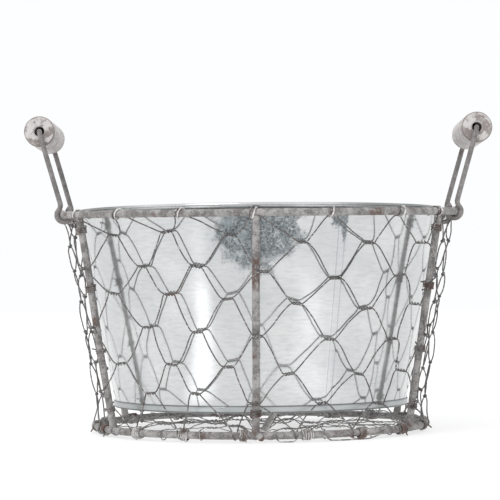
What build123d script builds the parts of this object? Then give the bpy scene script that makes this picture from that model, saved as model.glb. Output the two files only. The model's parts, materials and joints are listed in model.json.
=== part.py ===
"""Round wire basket with a lift-out zinc liner and two swinging bail handles.

Millimetres. +Z is up, the basket stands on Z = 0 and its axis is the Z axis.
+X points at the right-hand handle and -Y at the front of the basket.
Compass angles round the basket start at the front (-Y) and grow towards +X.
"""

import os
from math import atan2, cos, degrees, hypot, radians, sin, sqrt

from build123d import *

# ---------------------------------------------------------------- overall
WIDTH = 260.0
HEIGHT = 177.0

# ---------------------------------------------------------------- frame
RING_WIRE = 4.0
TOP_RING_RADIUS = 112.0
TOP_RING_SIDE_Z = 122.8
TOP_RING_DIP = 4.0
BASE_RING_RADIUS = 92.5
BASE_RING_Z = 3.75
STRUT_WIRE = 4.0
STRUT_COUNT = 6
FLOOR_BAR_WIRE = 3.6
FLOOR_BAR_BACK_SHIFT = 8.0

# ---------------------------------------------------------------- side netting
NET_WIRE = 1.0
NET_CELLS = 18
NET_PHASE = 2.0
NET_ROW_HEIGHTS = (106.0, 89.0, 73.5, 56.0, 38.0, 21.5)
TWIST_LENGTH = 6.7
TWIST_GAP = 0.1
TOP_LACE_PHASE = -1.6
BASE_LACE_PHASE = 12.0
LACED_LENGTH = 3.1
NET_OUTSIDE_STRUT = 2.9
NET_STRUT_LAP = 1.5
NET_LINER_GAP = 2.2
NET_TOP_SLOPE = 0.5
NET_SIDE_SAG = 3.0
NET_PIECES = 12
PIECE_GAP = 0.1

# ---------------------------------------------------------------- lacing
LACE_WIRE = 0.8
LACE_LOOP_RADIUS = 3.35
LACE_LOOP_SHIFT = 0.75
LACE_NET_OFFSET = 3.1
TIE_HEIGHTS = (112.0, 81.0, 47.0, 14.5)
TIE_TURN_PITCH = 0.72

# ---------------------------------------------------------------- floor netting
FLOOR_ROW_PITCH = 17.0
FLOOR_CELL_PITCH = 37.0
FLOOR_TOP_Z = 13.75
FLOOR_EDGE_Z = 6.2
FLOOR_FLAT_RADIUS = 82.0
FLOOR_END_RADIUS = 91.4

# ---------------------------------------------------------------- liner
SHEET = 0.6
LINER_BASE_Z = 14.5
LINER_WALL_FOOT_Z = 15.3
LINER_WALL_FOOT_RADIUS = 81.7
LINER_WALL_TOP_RADIUS = 103.4
BEAD_RADIUS = 1.5
BEAD_CENTRE_RADIUS = 104.3
BEAD_CENTRE_Z = 122.9
BEAD_SLIT = 0.4
BEAD_BORE_RADIUS = 0.85
RIM_WIRE = 1.6
SEAM_OUTER_RADIUS = 83.1
SEAM_HEIGHT = 3.7
SEAM_INNER_RADIUS = 79.9
FLOOR_PLATE_LIFT = 2.1

# ---------------------------------------------------------------- handles
BAIL_WIRE = 2.8
LEG_SPREAD = 60.0
BAIL_CORNER = 3.0
EYE_RADIUS = 4.1
EYE_NECK_HEIGHT = 7.6
EYE_END_ANGLE = 130.0
GRIP_DIAMETER = 17.2
GRIP_LENGTH = 55.0
GRIP_BORE = 5.5
GRIP_EDGE = 0.8
GRIP_GROOVE = 0.5
GRIP_GROOVE_INSET = 2.2


def on_basket(angle, radius, z):
    """The point at a compass angle, a distance from the axis and a height."""
    return Vector(radius * sin(radians(angle)), -radius * cos(radians(angle)), z)


def top_ring_z(angle):
    """The top ring is two flat halves that dip to the front and to the back."""
    return TOP_RING_SIDE_Z - TOP_RING_DIP * abs(cos(radians(angle)))


def frame_radius(angle, z):
    """The distance from the axis of the line between the rings, where the struts lie."""
    share = (z - BASE_RING_Z) / (top_ring_z(angle) - BASE_RING_Z)
    return BASE_RING_RADIUS + share * (TOP_RING_RADIUS - BASE_RING_RADIUS)


def liner_radius(z):
    """The outside of the liner's tapered wall."""
    share = (z - LINER_WALL_FOOT_Z) / (BEAD_CENTRE_Z - LINER_WALL_FOOT_Z)
    return LINER_WALL_FOOT_RADIUS + share * (LINER_WALL_TOP_RADIUS - LINER_WALL_FOOT_RADIUS)


def net_radius(angle, z):
    """The netting is pulled flat from strut to strut, until it almost touches the liner.

    Under the handles it is slack, and hangs just inside the line of the struts.
    """
    half_panel = 180 / STRUT_COUNT
    from_middle = half_panel - abs((angle + half_panel) % (2 * half_panel) - half_panel)
    edge = half_panel - NET_STRUT_LAP
    over_strut = frame_radius(angle, z) + NET_OUTSIDE_STRUT
    flat = over_strut * cos(radians(edge)) / cos(radians(min(from_middle, edge)))
    under_ring = TOP_RING_RADIUS + LACE_NET_OFFSET - NET_TOP_SLOPE * (top_ring_z(angle) - z)
    under_handle = abs(sin(radians(angle))) > sin(radians(360 / STRUT_COUNT))
    slack = frame_radius(angle, z) - NET_SIDE_SAG if under_handle else 0
    return max(flat, slack, liner_radius(z) + NET_LINER_GAP, under_ring)


def straight_wire(start, end, diameter):
    """A round bar from one point to another."""
    with BuildPart() as bar:
        with BuildSketch(Plane(origin=start, z_dir=end - start)):
            Circle(diameter / 2)
        extrude(amount=(end - start).length)
    return bar.part


def bent_wire(points, diameter):
    """A round wire that is bent sharply at each point between its ends."""
    with BuildPart() as wire:
        with BuildLine() as path:
            Polyline(*points)
        with BuildSketch(Plane(origin=path.line @ 0, z_dir=path.line % 0)):
            Circle(diameter / 2)
        sweep(path=path.line, transition=Transition.RIGHT)
    return wire.part


def save(part, name):
    """Names a finished piece and writes it to its own file."""
    part.label = name
    export_step(part, f"parts/{name}.step")


def make_top_ring():
    """Two half rings, each tilted down from the sides, welded where they meet."""
    tilt = atan2(TOP_RING_DIP, TOP_RING_RADIUS)
    side = Vector(TOP_RING_RADIUS, 0, TOP_RING_SIDE_Z)
    centre = Vector(0, 0, TOP_RING_SIDE_Z)
    with BuildPart() as ring:
        for half in (1, -1):
            upright = Vector(0, -half * sin(tilt), cos(tilt))
            with BuildSketch(Plane(origin=side, x_dir=(1, 0, 0), z_dir=(0, cos(tilt), half * sin(tilt)))):
                Circle(RING_WIRE / 2)
            revolve(axis=Axis(centre, upright), revolution_arc=-half * 180)
        with Locations(side, Vector(-TOP_RING_RADIUS, 0, TOP_RING_SIDE_Z)):
            Sphere(RING_WIRE / 2)
    return ring.part


def make_base_ring():
    """One flat ring of wire."""
    with BuildPart() as ring:
        with Locations((0, 0, BASE_RING_Z)):
            Torus(BASE_RING_RADIUS, RING_WIRE / 2)
    return ring.part


def make_strut(angle, rings):
    """A straight wire coped to both rings, to which it is welded."""
    low = on_basket(angle, BASE_RING_RADIUS, BASE_RING_Z)
    high = on_basket(angle, TOP_RING_RADIUS, top_ring_z(angle))
    inset = (high - low).normalized()
    bar = straight_wire(low + inset, high - inset, STRUT_WIRE)
    with BuildPart() as strut:
        add(bar)
        add(rings, mode=Mode.SUBTRACT)
    return strut.part


def make_floor_bar(neighbours):
    """A wire across the base ring from the front to the back, a little askew."""
    front = Vector(0, -BASE_RING_RADIUS + RING_WIRE / 4, BASE_RING_Z)
    back = Vector(FLOOR_BAR_BACK_SHIFT, BASE_RING_RADIUS - RING_WIRE / 3, BASE_RING_Z)
    bar = straight_wire(front, back, FLOOR_BAR_WIRE)
    with BuildPart() as floor_bar:
        add(bar)
        add(neighbours, mode=Mode.SUBTRACT)
    return floor_bar.part


def net_corner(row, angle, side, way):
    """The left (-1) or right (+1) end of a twist, for the wire above (+1) or below (-1) it."""
    if row == 0:
        z = top_ring_z(angle)
        radius = TOP_RING_RADIUS + LACE_NET_OFFSET
        return on_basket(angle + way * degrees(LACED_LENGTH / 2 / radius), radius, z)
    if row > len(NET_ROW_HEIGHTS):
        radius = BASE_RING_RADIUS + LACE_NET_OFFSET
        return on_basket(angle + way * degrees(LACED_LENGTH / 2 / radius), radius, BASE_RING_Z)
    z = NET_ROW_HEIGHTS[row - 1] + side * (NET_WIRE + TWIST_GAP) / 2
    end_angle = angle + way * degrees(TWIST_LENGTH / 2 / net_radius(angle, z))
    return on_basket(end_angle, net_radius(end_angle, z), z)


def make_netting_wire(wire):
    """One wire of the hexagonal netting, from one row of twists to the next and back.

    It is cut into arcs at the middle of some twists, so that each arc stays simple.
    """
    cell = 360 / NET_CELLS
    steps = 2 * NET_CELLS // NET_PIECES
    arcs = []
    for piece in range(NET_PIECES):
        points = []
        for step in range(piece * steps, (piece + 1) * steps + 1):
            row = wire if (step + wire) % 2 == 0 else wire + 1
            angle = cell / 2 * step + (NET_PHASE if row > 0 else TOP_LACE_PHASE)
            side = -1 if row == wire else 1
            points += [net_corner(row, angle, side, way) for way in (-1, 1)]
        start = (points[1] - points[0]).normalized() * PIECE_GAP
        finish = (points[-1] - points[-2]).normalized() * PIECE_GAP
        middles = (points[0] + points[1] + start) / 2, (points[-2] + points[-1] - finish) / 2
        arcs.append(bent_wire([middles[0], *points[1:-1], middles[1]], NET_WIRE))
    with BuildPart() as netting_wire:
        add(arcs)
    return netting_wire.part


def make_lacing(ring_radius, height, phase):
    """A turn of thin wire round the ring at each place where the netting is laced on."""
    loops = []
    for k in range(NET_CELLS):
        angle = k * 360 / NET_CELLS + phase
        centre = on_basket(angle, ring_radius + LACE_LOOP_SHIFT, height(angle))
        along = on_basket(angle + 90, 1, 0)
        with BuildPart() as loop:
            with Locations(Plane(origin=centre, z_dir=along)):
                Torus(LACE_LOOP_RADIUS, LACE_WIRE / 2)
        loops.append(loop.part)
    with BuildPart() as lacing:
        add(loops)
    return lacing.part


def make_strut_ties():
    """Two close turns of tie wire round the struts, four on each side strut and one in front and behind."""
    ties = []
    for k in range(STRUT_COUNT):
        angle = k * 360 / STRUT_COUNT
        heights = TIE_HEIGHTS if k % 3 else TIE_HEIGHTS[-1:]
        for z in heights:
            low = on_basket(angle, BASE_RING_RADIUS, BASE_RING_Z)
            high = on_basket(angle, TOP_RING_RADIUS, top_ring_z(angle))
            share = (z - low.Z) / (high.Z - low.Z)
            across = Plane(origin=low + (high - low) * share, z_dir=high - low)
            turn = STRUT_WIRE / 2 + TWIST_GAP / 2 + LACE_WIRE / 2
            with BuildPart() as tie:
                for step in (-TIE_TURN_PITCH / 2, TIE_TURN_PITCH / 2):
                    with Locations(across.offset(step)):
                        Torus(turn, LACE_WIRE / 2)
            ties.append(tie.part)
    with BuildPart() as strut_ties:
        add(ties)
    return strut_ties.part


def floor_height(x, y):
    """The floor netting lies on the base ring and is humped up to carry the liner."""
    out = (hypot(x, y) - FLOOR_FLAT_RADIUS) / (FLOOR_END_RADIUS - FLOOR_FLAT_RADIUS)
    return FLOOR_TOP_Z - (FLOOR_TOP_Z - FLOOR_EDGE_Z) * min(max(out, 0), 1)


def crossing(start, end, radius):
    """The share of the way from a point inside a circle about the axis to one outside it."""
    dx, dy = end[0] - start[0], end[1] - start[1]
    square = dx * dx + dy * dy
    along = start[0] * dx + start[1] * dy
    rest = start[0] ** 2 + start[1] ** 2 - radius**2
    return (-along + sqrt(along * along - square * rest)) / square


def between(start, end, share):
    """A point part of the way from one point to another."""
    return start[0] + (end[0] - start[0]) * share, start[1] + (end[1] - start[1]) * share


def on_edge(inside, outside):
    """The point where a floor wire reaches the base ring."""
    return between(inside, outside, crossing(inside, outside, FLOOR_END_RADIUS))


def with_brinks(run):
    """The floor wire's corners with one more where it goes over the edge of the hump."""
    points = [run[0]]
    for start, end in zip(run, run[1:]):
        start_in = hypot(*start) < FLOOR_FLAT_RADIUS
        end_in = hypot(*end) < FLOOR_FLAT_RADIUS
        if start_in and not end_in:
            points.append(between(start, end, crossing(start, end, FLOOR_FLAT_RADIUS)))
        if end_in and not start_in:
            points.append(between(end, start, crossing(end, start, FLOOR_FLAT_RADIUS)))
        points.append(end)
    return points


def make_floor_netting():
    """The wires of the floor netting, which run from side to side of the base ring."""
    half_twist = TWIST_LENGTH / 2
    beside = (NET_WIRE + TWIST_GAP) / 2
    rows = int(FLOOR_END_RADIUS / FLOOR_ROW_PITCH)
    steps = int(2 * FLOOR_END_RADIUS / FLOOR_CELL_PITCH) + 1
    wires = []
    for low_row in range(-rows, rows):
        corners = []
        for step in range(-steps, steps + 1):
            is_low = (step + low_row) % 2 == 0
            y = low_row * FLOOR_ROW_PITCH + (beside if is_low else FLOOR_ROW_PITCH - beside)
            x = step * FLOOR_CELL_PITCH / 2
            corners += [(x - half_twist, y), (x + half_twist, y)]
        middle = len(corners) // 2
        sides = []
        for way in (-1, 1):
            side = []
            index = middle if way > 0 else middle - 1
            while hypot(*corners[index]) < FLOOR_END_RADIUS:
                side.append(corners[index])
                index += way
            sides.append(side + [on_edge(side[-1], corners[index])])
        run = sides[0][::-1] + sides[1]
        wires.append(bent_wire([Vector(x, y, floor_height(x, y)) for x, y in with_brinks(run)], NET_WIRE))
    with BuildPart() as floor_netting:
        add(wires)
    return floor_netting.part


def make_liner_wall():
    """The tapered side of the liner, with its upper edge rolled outwards round a wire."""
    with BuildPart() as wall:
        with BuildSketch(Plane.XZ):
            with BuildLine():
                Polyline(
                    (LINER_WALL_FOOT_RADIUS - SHEET, LINER_WALL_FOOT_Z),
                    (LINER_WALL_FOOT_RADIUS, LINER_WALL_FOOT_Z),
                    (LINER_WALL_TOP_RADIUS, BEAD_CENTRE_Z),
                    (LINER_WALL_TOP_RADIUS - SHEET, BEAD_CENTRE_Z),
                    close=True,
                )
            make_face()
            with Locations((BEAD_CENTRE_RADIUS, BEAD_CENTRE_Z)):
                Circle(BEAD_RADIUS)
                Circle(BEAD_BORE_RADIUS, mode=Mode.SUBTRACT)
            with Locations((BEAD_CENTRE_RADIUS, BEAD_CENTRE_Z - BEAD_RADIUS)):
                Rectangle(BEAD_SLIT, 2 * SHEET, mode=Mode.SUBTRACT)
        revolve(axis=Axis.Z)
    return wall.part


def make_rim_wire():
    """The stiffening wire inside the rolled edge of the liner."""
    with BuildPart() as rim_wire:
        with Locations((0, 0, BEAD_CENTRE_Z)):
            Torus(BEAD_CENTRE_RADIUS, RIM_WIRE / 2)
    return rim_wire.part


def make_liner_base():
    """The recessed bottom plate, whose edge is folded down, out and up round the wall's foot."""
    plate_z = LINER_BASE_Z + FLOOR_PLATE_LIFT
    with BuildPart() as base:
        with BuildSketch(Plane.XZ):
            with BuildLine():
                Polyline(
                    (0, plate_z),
                    (SEAM_INNER_RADIUS, plate_z),
                    (SEAM_INNER_RADIUS, LINER_BASE_Z),
                    (SEAM_OUTER_RADIUS, LINER_BASE_Z),
                    (SEAM_OUTER_RADIUS, LINER_BASE_Z + SEAM_HEIGHT),
                    (SEAM_OUTER_RADIUS - SHEET, LINER_BASE_Z + SEAM_HEIGHT),
                    (SEAM_OUTER_RADIUS - SHEET, LINER_BASE_Z + SHEET),
                    (SEAM_INNER_RADIUS + SHEET, LINER_BASE_Z + SHEET),
                    (SEAM_INNER_RADIUS + SHEET, plate_z + SHEET),
                    (0, plate_z + SHEET),
                    close=True,
                )
            make_face()
        revolve(axis=Axis.Z)
    return base.part


def bail_lean():
    """How far the grip's axis is outside and above the pivot line through the two eyes."""
    pivot = bail_pivot()
    return WIDTH / 2 - GRIP_DIAMETER / 2 - pivot.X, HEIGHT - GRIP_DIAMETER / 2 - pivot.Z


def bail_pivot():
    """The middle of the chord of the top ring that the right bail swings about."""
    pivot_x = sqrt(TOP_RING_RADIUS**2 - (LEG_SPREAD / 2) ** 2)
    return Vector(pivot_x, 0, top_ring_z(degrees(atan2(pivot_x, LEG_SPREAD / 2))))


def bail_plane(leg_y):
    """The plane of one leg and its eye: local x is outwards, local y runs up the leg."""
    out, up = bail_lean()
    return Plane(origin=bail_pivot() + Vector(0, leg_y, 0), x_dir=(up, 0, -out), z_dir=(0, -1, 0))


def make_right_bail():
    """A bail of one wire: an eye round the ring, a leg, the bar inside the grip, a leg, an eye."""
    reverse = (EYE_NECK_HEIGHT**2 - EYE_RADIUS**2) / (2 * EYE_RADIUS)
    reach = hypot(reverse, EYE_NECK_HEIGHT)
    touch_angle = degrees(atan2(EYE_NECK_HEIGHT, reverse))
    half = LEG_SPREAD / 2
    bail_height = hypot(*bail_lean())
    middle = bail_plane(0)
    legs = []
    for leg_y in (-half, half):
        plane = bail_plane(leg_y)
        with BuildPart() as leg:
            with BuildLine(plane) as path:
                Line((0, bail_height / 2), (0, EYE_NECK_HEIGHT))
                CenterArc((reverse, EYE_NECK_HEIGHT), reverse, 180, touch_angle)
                CenterArc((0, 0), EYE_RADIUS, touch_angle, EYE_END_ANGLE - 360 - touch_angle)
            with BuildSketch(Plane(origin=path.line @ 0, z_dir=plane.y_dir)):
                Circle(BAIL_WIRE / 2)
            sweep(path=path.line)
        legs.append(leg.part)
    top_plane = Plane(origin=middle.origin, x_dir=(0, 1, 0), z_dir=middle.x_dir)
    with BuildPart() as bail:
        with BuildLine(top_plane) as bow:
            FilletPolyline(
                (-half, bail_height / 2),
                (-half, bail_height),
                (half, bail_height),
                (half, bail_height / 2),
                radius=BAIL_CORNER,
            )
        with BuildSketch(Plane(origin=bow.line @ 0, z_dir=bow.line % 0)):
            Circle(BAIL_WIRE / 2)
        sweep(path=bow.line)
        add(legs)
    return bail.part


def make_right_grip():
    """A turned wooden roller, bored for the wire, with rounded edges and a groove near each end."""
    centre = bail_plane(0).from_local_coords((0, hypot(*bail_lean()), 0))
    end = GRIP_LENGTH / 2
    groove = end - GRIP_GROOVE_INSET
    with BuildPart() as grip:
        with BuildSketch(Plane(origin=centre, x_dir=(1, 0, 0), z_dir=(0, 0, 1))):
            with BuildLine():
                Polyline(
                    (GRIP_BORE / 2, -end),
                    (GRIP_DIAMETER / 2, -end),
                    (GRIP_DIAMETER / 2, end),
                    (GRIP_BORE / 2, end),
                    close=True,
                )
            make_face()
            with Locations((GRIP_DIAMETER / 2, groove), (GRIP_DIAMETER / 2, -groove)):
                Circle(GRIP_GROOVE, mode=Mode.SUBTRACT)
        revolve(axis=Axis(centre, (0, 1, 0)))
        along = grip.edges().group_by(Axis.Y)
        rims = [face_edges.sort_by(SortBy.RADIUS)[-1] for face_edges in (along[0], along[-1])]
        fillet(rims, GRIP_EDGE)
    return grip.part


def mirrored(part):
    """The same piece on the other side of the basket."""
    with BuildPart() as other:
        mirror(part, about=Plane.YZ)
    return other.part


def main():
    os.makedirs("parts", exist_ok=True)
    top_ring = make_top_ring()
    base_ring = make_base_ring()
    save(top_ring, "top_ring")
    save(base_ring, "base_ring")
    places = ("front", "front_right", "back_right", "back", "back_left", "front_left")
    struts = [make_strut(k * 360 / STRUT_COUNT, [top_ring, base_ring]) for k in range(STRUT_COUNT)]
    for strut, place in zip(struts, places):
        save(strut, f"strut_{place}")
    save(make_floor_bar([base_ring, struts[0]]), "floor_bar")
    for wire in range(len(NET_ROW_HEIGHTS) + 1):
        save(make_netting_wire(wire), f"netting_wire_{wire + 1}")
    save(make_lacing(TOP_RING_RADIUS, top_ring_z, TOP_LACE_PHASE), "rim_lacing")
    save(make_lacing(BASE_RING_RADIUS, lambda angle: BASE_RING_Z, BASE_LACE_PHASE), "base_lacing")
    save(make_strut_ties(), "strut_ties")
    save(make_floor_netting(), "floor_netting")
    save(make_liner_wall(), "liner_wall")
    save(make_rim_wire(), "liner_rim_wire")
    save(make_liner_base(), "liner_base")
    bail = make_right_bail()
    grip = make_right_grip()
    save(bail, "bail_right")
    save(mirrored(bail), "bail_left")
    save(grip, "grip_right")
    save(mirrored(grip), "grip_left")


main()
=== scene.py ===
import json
import math
import random

import bpy
import numpy as np
from mathutils import Matrix, Vector, noise


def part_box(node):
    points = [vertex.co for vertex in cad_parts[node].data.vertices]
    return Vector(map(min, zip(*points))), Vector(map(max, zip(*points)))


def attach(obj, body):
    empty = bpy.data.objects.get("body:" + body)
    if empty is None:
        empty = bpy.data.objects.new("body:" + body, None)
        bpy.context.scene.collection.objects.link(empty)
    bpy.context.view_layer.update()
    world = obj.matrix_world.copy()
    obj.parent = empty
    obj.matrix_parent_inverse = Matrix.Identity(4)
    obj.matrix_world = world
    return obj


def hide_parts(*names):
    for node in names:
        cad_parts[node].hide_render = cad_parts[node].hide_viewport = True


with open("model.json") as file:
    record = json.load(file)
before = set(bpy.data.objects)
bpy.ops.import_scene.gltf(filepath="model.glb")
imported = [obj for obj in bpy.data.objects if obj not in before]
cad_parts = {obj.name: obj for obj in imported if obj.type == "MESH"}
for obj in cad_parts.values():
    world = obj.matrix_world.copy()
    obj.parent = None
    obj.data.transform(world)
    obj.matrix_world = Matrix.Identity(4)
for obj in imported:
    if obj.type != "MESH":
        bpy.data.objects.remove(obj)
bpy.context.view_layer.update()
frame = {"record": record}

# Lengths are in millimetres and angles in degrees until a mesh is made. Compass angles round the
# basket start at the front (-Y) and grow towards +X, as in the CAD.
MM = 0.001
TURN = 2 * math.pi
SEED = 26
dice = random.Random(SEED)
# Without this, Blender takes the offsets of noise_vector from the clock, and every run bends the wires anew.
noise.seed_set(SEED)


def node_box(name):
    low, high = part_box(name)
    return low / MM, high / MM


def joint_place(name):
    return next(Vector(j["pos_m"]) / MM for j in frame["record"]["behaviour"]["joints"] if j["name"] == name)


# ---------------------------------------------------------------- sizes from the frame
ring_low, ring_high = node_box("base_ring")
WIRE = ring_high.z - ring_low.z
BASE_RADIUS = (ring_high.x - ring_low.x - WIRE) / 2
BASE_Z = (ring_high.z + ring_low.z) / 2
ring_low, ring_high = node_box("top_ring")
TOP_RADIUS = (ring_high.x - ring_low.x - WIRE) / 2
TOP_SIDE_Z = ring_high.z - WIRE / 2
TOP_DIP = ring_high.z - ring_low.z - WIRE
wall_low, wall_high = node_box("liner_wall")
RIM_OUTER = (wall_high.x - wall_low.x) / 2
RIM_TOP = wall_high.z
foot_low, foot_high = node_box("liner_base")
FOOT_RADIUS = (foot_high.x - foot_low.x) / 2
FOOT_Z = foot_low.z
FOOT_HEIGHT = foot_high.z - foot_low.z
FLOOR_NET_TOP = node_box("floor_netting")[1].z
PIVOT = joint_place("right_handle_swing")
GRIP_CENTRE = joint_place("right_grip_roll")
grip_low, grip_high = node_box("grip_right")
GRIP_LENGTH = grip_high.y - grip_low.y
GRIP_RADIUS = (grip_high.x - grip_low.x) / 2

# ---------------------------------------------------------------- frame
STRUTS = 6
HALF_PANEL = 180 / STRUTS
# The front strut leans: degrees round the base ring and the top ring.
FRONT_FOOT_SHIFT = -1.6
FRONT_HEAD_SHIFT = -0.6
# Keeps the dip of the top ring smooth where it turns, at the two sides.
DIP_ROUNDING = 0.0025
# Corners of a wire's cross section, for stout and for thin wire.
STOUT_SIDES = 18
THIN_SIDES = 8
# How rough the wash makes the wires.
RING_CRUST = 0.09
STRUT_CRUST = 0.10
WELD_CRUST = 0.3
BAIL_CRUST = 0.06

# ---------------------------------------------------------------- side netting
CELLS = 18
STEP = 360 / CELLS / 2
NET_WIRE = 0.74
NET_ROWS = (106.0, 89.0, 73.5, 56.0, 38.0, 21.5)
NET_PHASE = 2.0
TOP_PHASE = -1.6
BASE_PHASE = 12.0
NET_OUTSIDE_STRUT = 2.9
NET_LINER_GAP = 1.9
NET_SIDE_SAG = 2.6
# How hand bending has pulled the rows round the basket, in degrees, and up and down.
NET_LEAN = -0.75
NET_BULGE = 8.0
NET_BULGE_TOP = 3.2
NET_BULGE_ANGLE = 37.0
NET_BULGE_SPREAD = 15.0
NET_SLANT = 3.5
TWIST_LENGTH = 6.7
TWIST_TURNS = 2
TWIST_POINTS = 11 * TWIST_TURNS
TWIST_REACH = 0.58
BEND_REACH = 2.2
OVER_STRUT_ANGLE = 1.5

# ---------------------------------------------------------------- lacing, ties and floor netting
LACE_WIRE = 0.8
COIL_POINTS = 14
TIE_HEIGHTS = (112.0, 81.0, 47.0, 15.5)
TIE_PITCH = LACE_WIRE + 0.15
# Loose wire under the base ring: first angle, last angle, how soon it drops.
LOOSE_ENDS = ((19.5, 36.0, 1.6), (27.0, 44.0, 1.1), (4.0, 12.5, 1.4))
LOOSE_REACH = 1.8
LOOSE_POINTS = 40
FLOOR_ROW = 13.0
FLOOR_CELL = 27.0
FLOOR_TWIST = 4.6
FLOOR_REACH = 0.36
FLOOR_POINTS = 9 * TWIST_TURNS
FLOOR_CRUMPLE = 7.0
FLOOR_WIRE = 0.52
# The floor netting lies flat under the floor bar: the bar's place in x, and the room on each side.
BAR_X = 4
BAR_ROOM = 10

# ---------------------------------------------------------------- liner and handles
SHEET = 0.6
SEAM_ANGLE = 25.5
SEAM_WIDTH = 2.2
SEAM_HEIGHT = 0.14
LINER_FOLD = 1.4
LINER_BEAD = 2.4
BEAD_RADIUS = 1.15
BEAD_HOOP = 0.5
BAIL_WIRE = 2.8
BAIL_CORNER = 3.2
EYE_RADIUS = 3.8
EYE_NECK = 7.0
EYE_END = 130.0
LEG_HALF = 30.0
GRIP_BORE = 2.75

# ---------------------------------------------------------------- marks of wear
# Where rust has broken through the frame's wash: centre and half size.
RUST_SCARS = (((-1.0, -107.0, 88.0), (6.0, 12.0, 11.0)), ((61.0, -94.0, 119.5), (5.0, 9.0, 9.0)))
# Frosty patches below the liner's rim: middle in x, half width, depth, size and strength of the ragged edge.
FROST = ((0.0, 27.0, 33.0, 13.0, 1.6), (42.0, 5.5, 9.0, 4.5, 3.0), (44.5, 1.8, 21.0, 3.0, 1.2))
FROST_TOP = 121

# ---------------------------------------------------------------- studio
TABLE_GLOW = 0.62
TABLE_HALF = 6.0
# Glows on the light table: compass angle, start, end, half width, strength, length of the soft end.
GLOWS = ((-33, 115, 322, 15, 1.0, 40), (-34, 260, 560, 22, 0.22, 200), (29, 115, 340, 27, 0.28, 60))
GLOW_START = 25
GLOW_SPREAD = 2.1
KEY_STRENGTH = 0.9
LENS = 136.9
CAMERA_PLACE = (0.0017, -1.080, 0.0792)
CAMERA_PITCH, CAMERA_YAW, CAMERA_ROLL = 1.21, 0.37, -0.58


# ---------------------------------------------------------------- curves in space
def on_basket(angle, radius, z):
    a = math.radians(angle)
    return np.array((radius * math.sin(a), -radius * math.cos(a), z))


def outwards(angle):
    return on_basket(angle, 1, 0)


def along(angle):
    return on_basket(angle + 90, 1, 0)


UP = np.array((0.0, 0.0, 1.0))


def top_z(angle):
    return TOP_SIDE_Z - TOP_DIP * math.sqrt(math.cos(math.radians(angle)) ** 2 + DIP_ROUNDING)


def top_line(angle):
    return on_basket(angle, TOP_RADIUS, top_z(angle))


def base_line(angle):
    return on_basket(angle, BASE_RADIUS, BASE_Z)


def frame_radius(angle, z):
    share = (z - BASE_Z) / (top_z(angle) - BASE_Z)
    return BASE_RADIUS + share * (TOP_RADIUS - BASE_RADIUS)


def liner_radius(z):
    share = (z - FOOT_Z) / (RIM_TOP - FOOT_Z)
    return FOOT_RADIUS - LINER_FOLD + share * (RIM_OUTER - LINER_BEAD - FOOT_RADIUS + LINER_FOLD)


def net_radius(angle, z):
    """The netting is pulled flat from strut to strut, close to the liner, and slack under the handles."""
    from_middle = HALF_PANEL - abs((angle + HALF_PANEL) % (2 * HALF_PANEL) - HALF_PANEL)
    edge = HALF_PANEL - OVER_STRUT_ANGLE
    over_strut = frame_radius(angle, z) + NET_OUTSIDE_STRUT
    flat = over_strut * math.cos(math.radians(edge)) / math.cos(math.radians(min(from_middle, edge)))
    stop = liner_radius(z) + NET_LINER_GAP
    if abs(math.sin(math.radians(angle))) > math.sin(math.radians(2 * HALF_PANEL)):
        stop = frame_radius(angle, z) - NET_SIDE_SAG
    return stop + (flat - stop + math.hypot(flat - stop, 1.0)) / 2


def bezier(start, start_way, end, end_way, count):
    """Points after start and before end of a curve that leaves along start_way and arrives along end_way."""
    shares = [(k + 1) / (count + 1) for k in range(count)]
    a, b, c, d = start, start + start_way, end - end_way, end
    return [a * (1 - t) ** 3 + 3 * b * t * (1 - t) ** 2 + 3 * c * t * t * (1 - t) + d * t**3 for t in shares]


def heading(start, end):
    """The way from start to end, as long as a bend of the netting wire needs it."""
    return (end - start) / np.linalg.norm(end - start) * BEND_REACH


def lifted(points, lowest):
    """The points, none of them lower than lowest."""
    return [np.array((p[0], p[1], max(p[2], lowest))) for p in points]


def wander(points, amount, wave, seed):
    """The points moved a little by smooth noise, as a hand-bent wire wanders."""
    offset = Vector((seed * 17.3, seed * 5.1, seed * 9.7))
    moved = [noise.noise_vector(Vector(p) / wave + offset) * amount for p in points]
    return [p + np.array(m) for p, m in zip(points, moved)]


# ---------------------------------------------------------------- meshes
def tube_rings(points, closed):
    """A frame of two cross directions at each point, carried along without twist."""
    points = np.array(points)
    if closed:
        ways = np.roll(points, -1, 0) - np.roll(points, 1, 0)
    else:
        ways = np.gradient(points, axis=0)
    ways /= np.linalg.norm(ways, axis=1)[:, None]
    first = np.cross(ways[0], UP if abs(ways[0][2]) < 0.9 else np.array((1.0, 0, 0)))
    sides = [first / np.linalg.norm(first)]
    for way in ways[1:]:
        side = sides[-1] - way * np.dot(sides[-1], way)
        sides.append(side / np.linalg.norm(side))
    sides = np.array(sides)
    if closed:
        last = sides[-1] - ways[0] * np.dot(sides[-1], ways[0])
        turn = math.atan2(np.dot(np.cross(last, sides[0]), ways[0]), np.dot(last, sides[0]))
        angles = np.arange(len(points)) / len(points) * turn
        others = np.cross(ways, sides)
        sides = sides * np.cos(angles)[:, None] + others * np.sin(angles)[:, None]
    return points, sides, np.cross(ways, sides)


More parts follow.
